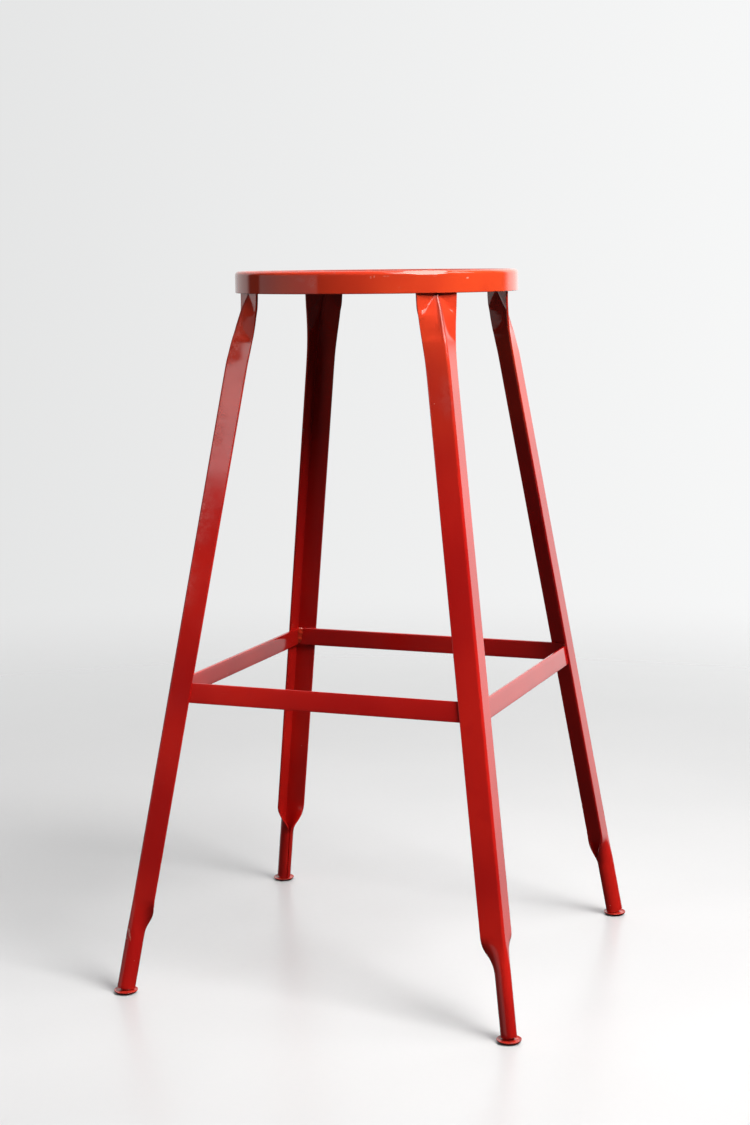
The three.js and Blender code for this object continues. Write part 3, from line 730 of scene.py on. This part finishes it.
def oval_table():
    a, b, n = TUBE_A - LEG_T / 2, TUBE_B - LEG_T / 2, 400
    q = np.linspace(0, pi, n + 1)
    pts = np.stack([b * np.sin(q), a * (1 - np.cos(q))], 1)
    s = np.concatenate([[0], np.cumsum(np.hypot(*np.diff(pts, axis=0).T))])
    turn = np.zeros(n + 1)
    for i in range(1, n):
        d = pts[i + 1] - pts[i - 1]
        turn[i] = math.atan2(d[1], d[0])
    turn[n] = pi
    return s, turn


OVAL_S, OVAL_TURN = oval_table()


def lower_half(z):
    k = smooth(SWAGE_TOP, SWAGE_END, z)
    length, n = mix(HALF_DEV, OVAL_S[-1] - SEAM_HALF, k), 160
    bend, t = BEND_R * pi / 4, LEG_T / 2
    start = mix(t * math.sqrt(2) + BEND_R * (math.sqrt(2) - 1), TUBE_INSET + t, k)
    s = (np.arange(n) + 0.5) / n * length
    v = pi / 4 * np.clip(s / bend, 0, 1)
    a = mix(v, np.interp(s, OVAL_S, OVAL_TURN), k)
    x = np.concatenate([[0], np.cumsum(np.cos(a))]) * length / n
    y = start + np.concatenate([[0], np.cumsum(np.sin(a))]) * length / n
    return np.stack([x, y], 1)


# where a half section is sampled: close together round the corner
SHARES = np.concatenate([np.linspace(0, 0.075, 6), np.linspace(0.075, 1, 31)[1:]])
EDGE_ROUND = 0.55


SECTIONS = {}


def section(z, thin=0.0):
    """Ring of (u, w) points round the whole sheet, and each point's place along it (mm) and nearness to an edge."""
    if (z, thin) not in SECTIONS:
        SECTIONS[z, thin] = new_section(z, thin)
    return SECTIONS[z, thin]


def new_section(z, thin):
    line = upper_half(z) if z > 300 else lower_half(z)
    s = np.concatenate([[0], np.cumsum(np.hypot(*np.diff(line, axis=0).T))])
    total = s[-1]

    def at(x):
        m = abs(x)
        if m > total:
            d = (line[-1] - line[-2]) / (s[-1] - s[-2])
            p = line[-1] + d * (m - total)
        else:
            p = np.array((np.interp(m, s, line[:, 0]), np.interp(m, s, line[:, 1])))
        return np.array((-p[0], p[1])) if x < 0 else p

    t = LEG_T / 2 - thin
    e = 0.22
    outer, inner, place = [], [], []
    r = EDGE_ROUND
    for share in SHARES:
        x = share * (total - r)
        d = at(x + e) - at(x - e)
        d = d / np.linalg.norm(d)
        n = np.array((d[1], -d[0]))
        p = at(x)
        outer.append(p + n * t)
        inner.append(p - n * t)
        place.append(x)
        if share == 0:
            outer[0][0] = inner[0][0] = 0.0
    d = at(total) - at(total - 0.3)
    d = d / np.linalg.norm(d)
    n = np.array((d[1], -d[0]))
    root = at(total - r)
    tip = []
    for i in range(1, 5):
        a = pi / 2 * i / 4
        tip.append(root + d * (r * math.sin(a)) + n * (t - r + r * math.cos(a)))
    for i in range(0, 4):
        a = pi / 2 * (1 - i / 4)
        tip.append(root + d * (r * math.sin(a)) - n * (t - r + r * math.cos(a)))
    half = outer + tip + inner[::-1]
    places = place + [total] * len(tip) + place[::-1]
    near = [math.exp(-max(0, total - r - x) / 0.8) for x in place]
    nears = near + [1.0] * len(tip) + near[::-1]
    side = [0.0] * len(outer) + [0.5] * len(tip) + [1.0] * len(inner)
    other = [(-p[0], p[1]) for p in half[1:-1]][::-1]
    ring = [tuple(p) for p in half] + other
    place_ring = places + [-q for q in places[1:-1][::-1]]
    return ring, place_ring, nears + nears[1:-1][::-1], len(half)


def leg(corner, az, drop):
    tab_top = TAB_TOP - drop
    heights = [tab_top, tab_top - 0.4, 750, 743, 741.6]
    heights += list(np.linspace(741, 738, 9)[0:]) + list(np.arange(737, 680, -1.0)) + list(np.arange(680, 639, -2.5))
    heights += [625, 600, 560, 510, 450, 380, 300.5, 240, 190, 150, 125, 114, 109.5]
    heights += list(np.arange(107, 66, -1.0)) + [65.5, 63.5, 60, 52, 42, 31, 20, 12]
    z_end = FOOT_TOP
    heights += [z_end + 0.5, z_end + 0.16, z_end]
    verts, uv, edge, dull_and_shade = [], [], [], []
    count = None
    for i, z in enumerate(heights):
        z = float(z)
        thin = 0.34 if i == len(heights) - 1 else 0.10 if i == len(heights) - 2 else 0.3 if i == 0 else 0.0
        tilt = LEAN * smooth(700, 640, z)
        # the corner's bend is drawn the same way above and below 300, so both meet
        ring, place, near, half = section(z, thin)
        r = top_row(z)[0]
        count = len(ring)
        # long, slight waves that hand forming leaves
        ripple = 0.10 * wobble(z / 33.0, az) * smooth(741, 700, z) * smooth(60, 110, z)
        for (u, w), s_mm, nr in zip(ring, place, near):
            ww = w + ripple * abs(u) / 18.0
            verts.append((r - ww * math.cos(tilt), u, z - ww * math.sin(tilt)))
            uv.append((0.5 + s_mm / 100.0, z / 800.0))
            edge.append(max(nr, 1.0 if i >= len(heights) - 3 else 0.0))
            # painted shade mask: darkens the ridge at the top of each leg, where the crease falls into shade
            dull_and_shade.append(0.92 * math.exp(-(s_mm / 4.2) ** 2) * smooth(672, 712, z))
    n = count
    faces = []
    for i in range(len(heights) - 1):
        for j in range(n):
            k = (j + 1) % n
            faces.append((i * n + j, i * n + k, (i + 1) * n + k, (i + 1) * n + j))

    # the ring is a bent band: its ends are closed strip by strip, from the middle to each free edge
    def cap(offset, flip):
        m = len(SHARES)
        tips = half - 2 * m
        right_outer = list(range(0, m + tips // 2))
        right_inner = list(range(half - 1, m + tips // 2 - 1, -1))
        strips = [(right_outer, right_inner)]
        mirror = lambda q: q if q in (0, half - 1) else n - q
        strips.append(([mirror(q) for q in right_outer], [mirror(q) for q in right_inner]))
        for index, (a, b) in enumerate(strips):
            for j in range(len(a) - 1):
                q = (offset + a[j], offset + a[j + 1], offset + b[j + 1], offset + b[j])
                if (index == 1) != flip:
                    q = tuple(reversed(q))
                faces.append(q)
    cap(0, False)
    cap((len(heights) - 1) * n, True)
    v = spin(np.array(verts), az)
    return make_piece(f"fine_leg_{corner}", v, faces, "frame", f"leg_{corner}", leg_paint[corner],
                      uv=uv, attributes={"edge": edge, "dull_and_shade": dull_and_shade}, sharp=50.0)


# ---------------------------------------------------------------- footrest
def side(z):
    return (RIDGE0 - SPLAY * z) / math.sqrt(2)


SIDE_LEAN = math.atan(SPLAY / math.sqrt(2))
FLANGE = LEG_T / math.cos(SIDE_LEAN)
BAR_W = BAR_T / math.cos(SIDE_LEAN)


def bar(name, az, reach, seed):
    y0 = -(side(BAR_Z) - FLANGE - GAP - BAR_W / 2)
    r = 0.55
    ring = []
    for cx, cz, a0 in ((1, 1, 0), (-1, 1, 90), (-1, -1, 180), (1, -1, 270)):
        for i in range(5):
            a = math.radians(a0 + 90 * i / 4)
            ring.append((cx * (BAR_T / 2 - r) + r * math.cos(a), cz * (BAR_H / 2 - r) + r * math.sin(a)))
    # two more points along each long side keep the faces even
    full = []
    for i, p in enumerate(ring):
        full.append(p)
        q = ring[(i + 1) % len(ring)]
        if abs(p[1] - q[1]) > 5:
            full += [(mix(p[0], q[0], k), mix(p[1], q[1], k)) for k in (0.25, 0.5, 0.75)]
    stations = [-1.0, -0.9985] + list(np.linspace(-0.985, 0.985, 41)) + [0.9985, 1.0]
    rings, edge = [], []
    for x in stations:
        shrink = 0.35 if abs(x) == 1.0 else 0.0
        sag = 0.10 * wobble(x * 3.0, seed)
        row = []
        for nn, h in full:
            n2 = nn * (1 - shrink / (BAR_T / 2)) if shrink else nn
            h2 = h * (1 - shrink / (BAR_H / 2)) if shrink else h
            n2 += sag * (1 - x * x)
            z = BAR_Z + h2 * math.cos(SIDE_LEAN) - n2 * math.sin(SIDE_LEAN)
            y = y0 + h2 * math.sin(SIDE_LEAN) + n2 * math.cos(SIDE_LEAN)
            row.append((x * (side(z) - reach), y, z))
            edge.append(1.0 if abs(abs(h) - BAR_H / 2) < r * 0.5 and abs(nn) > BAR_T / 2 - r else 0.25 * (abs(h) > BAR_H / 2 - 1.2))
        rings.append(row)
    v, f = lofted(rings)
    edge += [0.0, 0.0]
    return make_piece(f"fine_footrest_bar_{name}", spin(v, az), f, "frame", f"footrest_bar_{name}", bar_paint,
                      attributes={"edge": edge})


def corner_weld(corner, az, seed):
    """A stick-welded bead: overlapping lumps that run up the corner."""
    stations = 44
    rings = []
    z_low, z_high = BAR_Z - 9.2, BAR_Z + 11.0
    for i in range(stations):
        k = i / (stations - 1)
        z = mix(z_low, z_high, k)
        c = side(z) - FLANGE - GAP - BAR_W - GAP
        end = 1 - abs(2 * k - 1) ** 7
        lump = 0.5 + 0.5 * math.sin(k * 21.0 + 2.4 * math.sin(k * 5 + seed) + seed)
        s = (mix(2.9, 4.6, k ** 1.5) + 0.62 * lump ** 0.7 + 0.42 * wobble(k * 9, seed, 4)) * (0.35 + 0.65 * end ** 0.6)
        row = [(0.08, 0.08)]
        for j in range(13):
            a = pi / 2 * j / 12
            bulge = 1 + 0.10 * math.sin(3 * a + k * 17 + seed) * math.sin(2 * a)
            p = 1.72
            x = s * abs(math.sin(a)) ** p * bulge
            y = s * abs(math.cos(a)) ** p * bulge
            row.append((max(x, 0.08), max(y, 0.08)))
        rings.append([(c - a_, -c + b_, z + 0.25 * math.sin(4 * b_ + seed)) for a_, b_ in row])
    v, f = lofted(rings)
    return make_piece(f"fine_footrest_weld_{corner}", spin(v, az + 45), f, "frame", f"footrest_weld_{corner}",
                      weld_paint, attributes={"edge": [0.0] * len(v)}, sharp=80.0)


def tab_weld(corner, az, drop, seed):
    stations = 64
    v0 = TAB_V - LEG_T - GAP
    rings = []
    for i in range(stations):
        k = i / (stations - 1)
        y = mix(-19, 19, k)
        s = (0.93 + 0.10 * abs(math.sin(k * 26 + seed)) ** 0.7 + 0.06 * wobble(k * 11, seed)) * (0.45 + 0.55 * (1 - abs(2 * k - 1) ** 7))
        s = min(s, 1.06)
        top, low = 759.9, 756.35 + (1 - min(1, s)) * 1.0
        row = [(v0, top)]
        for j in range(11):
            a = pi * j / 10 - pi / 2
            row.append((v0 - 1.85 * s * math.cos(a) ** 0.7 if math.cos(a) > 1e-6 else v0, mix(top - 0.25, low, j / 10)))
        row = row[:1] + row[2:-1] + [(v0, low)]
        rings.append([(x, y, z) for x, z in row])
    v, f = lofted(rings)
    v[:, 2] -= drop
    return make_piece(f"fine_seat_weld_{corner}", spin(v, az), f, "frame", f"seat_weld_{corner}",
                      weld_paint, attributes={"edge": [0.0] * len(v)}, sharp=80.0)


# ------------------------------------------------------------------- glides
def glide(corner, az):
    open_r = 2.75
    crown = BALL_Z + math.sqrt(SOCKET_R ** 2 - open_r ** 2)
    flat = [(0, 0), (3.0, 0), (6.0, 0)]
    bowl = curve_through([(6.3, 0.0), (8.6, 0.25), (10.8, 1.05), (12.2, 2.1), (CUP_R, 3.05)], 5)
    lip = [(CUP_R, 3.2), (12.62, 3.38), (12.45, 3.49), (12.3, 3.5)]
    well = curve_through([(12.3, 3.5), (11.8, 3.2), (11.2, 2.85), (9.8, 2.5), (8.4, 2.8), (7.2, 3.15), (6.2, 3.7), (5.3, 4.5), (4.9, 5.1), (4.5, crown)], 4)[1:]
    throat = [(3.3, crown), (2.95, crown - 0.03), (open_r, crown - 0.14)]
    top = math.acos((crown - 0.14 - BALL_Z) / SOCKET_R)
    ball = [(SOCKET_R * math.sin(a), BALL_Z + SOCKET_R * math.cos(a)) for a in (mix(top, pi, i / 16) for i in range(1, 16))]
    profile = flat + bowl + lip + well + throat + ball + [(0, BALL_Z - SOCKET_R)]
    v, f = turned(profile, 96)
    under = [smooth(2.6, 1.4, p[2]) if math.hypot(p[0], p[1]) > 3.2 or p[2] < 0.5 else 0.9 for p in v]
    # the lip and the ring round the crown, where the pale patches go: partly wear, partly painted highlight
    edge = [math.exp(-((math.hypot(p[0], p[1]) - 12.45) / 0.5) ** 2) + 0.6 * math.exp(-((math.hypot(p[0], p[1]) - 5.9) / 0.8) ** 2) for p in v]
    v[:, 0] += FOOT_R
    return make_piece(f"fine_glide_base_{corner}", spin(v, az), f, f"glide_{corner}", f"glide_base_{corner}",
                      glide_paint, attributes={"under": under, "edge": edge})


def lean(points):
    """From the leaning leg's own frame, with the ball at 0, to the row's frame on +X."""
    p = np.asarray(points, float)
    c, s = math.cos(-LEAN), math.sin(-LEAN)
    x = p[:, 0] * c + p[:, 2] * s
    z = -p[:, 0] * s + p[:, 2] * c
    return np.stack([x + FOOT_R, p[:, 1], z + BALL_Z], 1)


def stem(corner, az):
    a1 = math.asin(1.6 / BALL_R)
    ball = [(BALL_R * math.sin(a), BALL_R * math.cos(a)) for a in (mix(pi, a1, i / 18) for i in range(1, 19))]
    neck = [(1.6, 2.45), (1.6, 3.2), (1.6, 4.0), (1.72, 4.35), (2.1, 4.65), (2.48, 4.85), (2.6, 5.1)]
    shank = []
    z = 5.6
    while z < 16.6:  # rolled barbs that grip the plug
        shank += [(2.6, z), (2.6, z + 0.9), (2.42, z + 1.15), (2.36, z + 1.4), (2.42, z + 1.6)]
        z += 1.9
    profile = [(0, -BALL_R)] + ball + neck + shank + [(2.5, 17.6), (2.1, 18.0), (1.2, 18.1), (0, 18.1)]
    v, f = turned(profile, 40)
    return make_piece(f"fine_glide_stem_{corner}", spin(lean(v), az), f, "frame", f"glide_stem_{corner}", stem_zinc)


def insert(corner, az):
    a, b = TUBE_A - LEG_T - GAP, TUBE_B - LEG_T - GAP
    z0, z1 = PLUG_START, PLUG_START + PLUG_LEN
    hole = 2.6 + GAP
    n = 72

    def ellipse(ra, rb, z):
        return [(ra * math.cos(2 * pi * i / n), rb * math.sin(2 * pi * i / n), z) for i in range(n)]

    outside = [(a - 0.5, b - 0.5, z0), (a - 0.15, b - 0.15, z0 + 0.12), (a, b, z0 + 0.5)]
    z = z0 + 2.5
    while z < z1 - 1.5:  # shallow crush ribs round the plug
        outside += [(a, b, z - 0.6), (a - 0.25, b - 0.25, z - 0.3), (a - 0.25, b - 0.25, z + 0.3), (a, b, z + 0.6)]
        z += 2.6
    outside += [(a, b, z1 - 0.5), (a - 0.5, b - 0.5, z1)]
    bore = [(hole + 0.3, hole + 0.3, z1), (hole, hole, z1 - 0.3), (hole, hole, z0 + 0.3), (hole + 0.3, hole + 0.3, z0)]
    rings = [ellipse(*r) for r in outside + bore]
    m = len(rings)
    verts = np.concatenate([np.array(r) for r in rings])
    faces = []
    for i in range(m):
        k2 = (i + 1) % m
        for j in range(n):
            k = (j + 1) % n
            faces.append((i * n + j, i * n + k, k2 * n + k, k2 * n + j))
    return make_piece(f"fine_glide_insert_{corner}", spin(lean(verts), az), faces, "frame", f"glide_insert_{corner}",
                      plug_black)


# --------------------------------------------------------------- everything
seat()
for index, (corner, az) in enumerate(CORNERS):
    drop = 1.2 if corner == "front_right" else 0.0
    leg(corner, az, drop)
    tab_weld(corner, az, drop, 1.0 + index * 2.2)
    corner_weld(corner, az, 0.7 + index * 1.9)
    glide(corner, az)
    stem(corner, az)
    insert(corner, az)
for index, (name, az) in enumerate((("front", 0), ("right", 90), ("back", 180), ("left", 270))):
    long_bar = name in ("front", "back")
    bar(name, az, FLANGE + GAP + 0.05 if long_bar else FLANGE + GAP + BAR_W + GAP + 0.05, 1.0 + index)


# ---------------------------------------------------------- floor and light
def floor():
    n, size = 96, 2.7
    verts = [(0.0, 0.0, 0.0)]
    faces = []
    for i in range(n):
        a = 2 * pi * i / n
        verts.append((size * math.cos(a), size * math.sin(a), 0.0))
    for i in range(n):
        faces.append((0, 1 + i, 1 + (i + 1) % n))
    me = bpy.data.meshes.new("floor")
    me.from_pydata(verts, [], faces)
    me.update()
    g = Graph("pale_floor")
    s = g.surface
    cloud = g.noise(1.6, 3.0, 0.5)
    grain = g.noise(160.0, 3.0, 0.6, seed=4)
    col = g.color(g.span(cloud, 0.3, 0.7), (0.60, 0.615, 0.64), (0.64, 0.655, 0.68))
    col = g.color(g.math("MULTIPLY", grain, 0.08), col, (0.50, 0.51, 0.53))
    g.put(s.inputs["Base Color"], col)
    g.put(s.inputs["Roughness"], g.math("ADD", 0.26, g.math("MULTIPLY", grain, 0.08)))
    # it fades into the backdrop, so that no line shows where it ends
    clear = g.tree.nodes.new("ShaderNodeBsdfTransparent")
    fade = g.tree.nodes.new("ShaderNodeMixShader")
    away = g.vector("LENGTH", g.object)
    g.put(fade.inputs[0], g.span(away, 0.45, 2.5))
    g.tree.links.new(s.outputs["BSDF"], fade.inputs[1])
    g.tree.links.new(clear.outputs["BSDF"], fade.inputs[2])
    end = next(x for x in g.tree.nodes if x.type == "OUTPUT_MATERIAL")
    g.tree.links.new(fade.outputs[0], end.inputs["Surface"])
    me.materials.append(g.material)
    o = bpy.data.objects.new("floor", me)
    bpy.context.scene.collection.objects.link(o)
    # it takes shadows and mirrors the stool, and throws no light back on the enamel
    o.visible_diffuse = False
    o.visible_glossy = False


floor()
FLAT_FWD = Vector((CAM_FWD.x, CAM_FWD.y, 0)).normalized()
FLAT_RIGHT = Vector((CAM_RIGHT.x, CAM_RIGHT.y, 0)).normalized()
MIDDLE = Vector((0, 0, 0.42))


def softbox(name, right, up, toward, width, height, power, colour=(1, 1, 1), aim=None, spread=180.0):
    """A rectangular light, placed from the stool by metres to the right, up, and towards the camera."""
    d = bpy.data.lights.new(name, "AREA")
    d.shape, d.size, d.size_y = "RECTANGLE", width, height
    d.energy, d.color = power, colour
    d.spread = math.radians(spread)
    o = bpy.data.objects.new(name, d)
    at = FLAT_RIGHT * right - FLAT_FWD * toward + Vector((0, 0, up))
    o.location = at
    o.rotation_mode = "QUATERNION"
    o.rotation_quaternion = ((aim or MIDDLE) - at).to_track_quat("-Z", "Y")
    bpy.context.scene.collection.objects.link(o)
    return o


# the main light is wide, high and to the right of the camera; a small card stands at the front on the left
softbox("key_seat", 1.40, 2.65, 1.29, 1.15, 1.8, 20, (1.0, 0.965, 0.92), aim=Vector((0, 0, 0.80)), spread=70.0)
softbox("key_high", 0.882, 2.7, 0.814, 1.2, 1.2, 15, (1.0, 0.965, 0.92))
softbox("key_front", 0.782, 2.4, 1.732, 0.8, 1.3, 19, (1.0, 0.965, 0.92))
softbox("key_side", 1.866, 2.35, 0.353, 0.8, 1.3, 15, (1.0, 0.965, 0.92))
softbox("left_fill", -1.486, 2.0, 1.016, 0.8, 0.8, 3.4).visible_glossy = False
softbox("overhead", 0.528, 2.17, -0.024, 0.38, 0.34, 3.0, (1.0, 0.97, 0.93))
card = softbox("card", -1.316, 0.93, 1.157, 0.44, 0.26, 1.0, aim=Vector((-0.13, -0.13, 0.66)))
lit = bpy.data.collections.new("lit_by_card")
for o in bpy.data.objects:
    if o.name.startswith("fine_") and "seat" not in o.name:
        lit.objects.link(o)
card.light_linking.receiver_collection = lit

world = bpy.data.worlds.new("studio")
bpy.context.scene.world = world
world.use_nodes = True
wt = world.node_tree
wt.nodes.clear()


def sky(kind, inputs=None, **props):
    n = wt.nodes.new(kind)
    for k, v in props.items():
        setattr(n, k, v)
    for k, v in (inputs or {}).items():
        if isinstance(v, bpy.types.NodeSocket):
            wt.links.new(v, n.inputs[k])
        else:
            n.inputs[k].default_value = v
    return n


def sky_math(op, a, b=0.0):
    return sky("ShaderNodeMath", {0: a, 1: b}, operation=op).outputs[0]


def sky_step(value, lo, hi):
    return sky("ShaderNodeMapRange", {"Value": value, "From Min": lo, "From Max": hi}, interpolation_type="SMOOTHSTEP").outputs["Result"]


# what the room gives: a pale cloth behind and to the right, a grey wall on the left, little from the front, a dark ground
w_co = sky("ShaderNodeTexCoord")
w_xyz = sky("ShaderNodeSeparateXYZ", {0: w_co.outputs["Generated"]})
w_turn = sky_math("MULTIPLY", sky_math("ARCTAN2", w_xyz.outputs[1], w_xyz.outputs[0]), 180 / pi)
w_rise = sky_math("MULTIPLY", sky_math("ARCSINE", w_xyz.outputs[2]), 180 / pi)
cloth = sky_math("MULTIPLY", sky_step(w_turn, 54, 68), sky_step(w_turn, 168, 160))
cloth = sky_math("MULTIPLY", cloth, sky_step(w_rise, -31, 3))
cloth = sky_math("MULTIPLY", cloth, sky_math("ADD", 0.85, sky_math("MULTIPLY", sky_step(w_turn, 125, 85), 0.80)))
cloth = sky_math("MULTIPLY", cloth, sky_math("SUBTRACT", 1.0, sky_math("MULTIPLY", sky_step(w_rise, 45, 75), 0.6)))
wall = sky_math("MULTIPLY", sky_step(w_turn, -116.5, -119), sky_step(w_turn, -180, -176))
wall = sky_math("MULTIPLY", wall, sky_math("MULTIPLY", sky_step(w_rise, -20, -12), sky_step(w_rise, 16, 11)))
room = sky_math("ADD", 0.035, sky_math("MULTIPLY", sky_step(w_rise, 20, 70), 0.06))
w_sum = sky_math("ADD", sky_math("ADD", sky_math("MULTIPLY", cloth, 0.80), sky_math("MULTIPLY", wall, 0.42)), room)
w_light = sky("ShaderNodeBackground", {"Strength": w_sum, "Color": (1.0, 0.995, 0.985, 1)})
# the backdrop that the camera sees is painted brighter towards the right: a painted pool of light
w_side = sky("ShaderNodeVectorMath", {0: w_co.outputs["Generated"], 1: FLAT_RIGHT}, operation="DOT_PRODUCT").outputs["Value"]
w_side = sky_math("MINIMUM", sky_math("MAXIMUM", w_side, -0.20), 0.24)
w_seen = sky("ShaderNodeBackground", {"Color": (0.995, 1.0, 1.0, 1), "Strength": sky_math("ADD", 0.86, sky_math("MULTIPLY", w_side, 0.40))})
w_path = sky("ShaderNodeLightPath")
w_mix = sky("ShaderNodeMixShader", {0: w_path.outputs["Is Camera Ray"], 1: w_light.outputs[0], 2: w_seen.outputs[0]})
sky("ShaderNodeOutputWorld", {"Surface": w_mix.outputs[0]})

bpy.context.scene.view_settings.view_transform = "Standard"
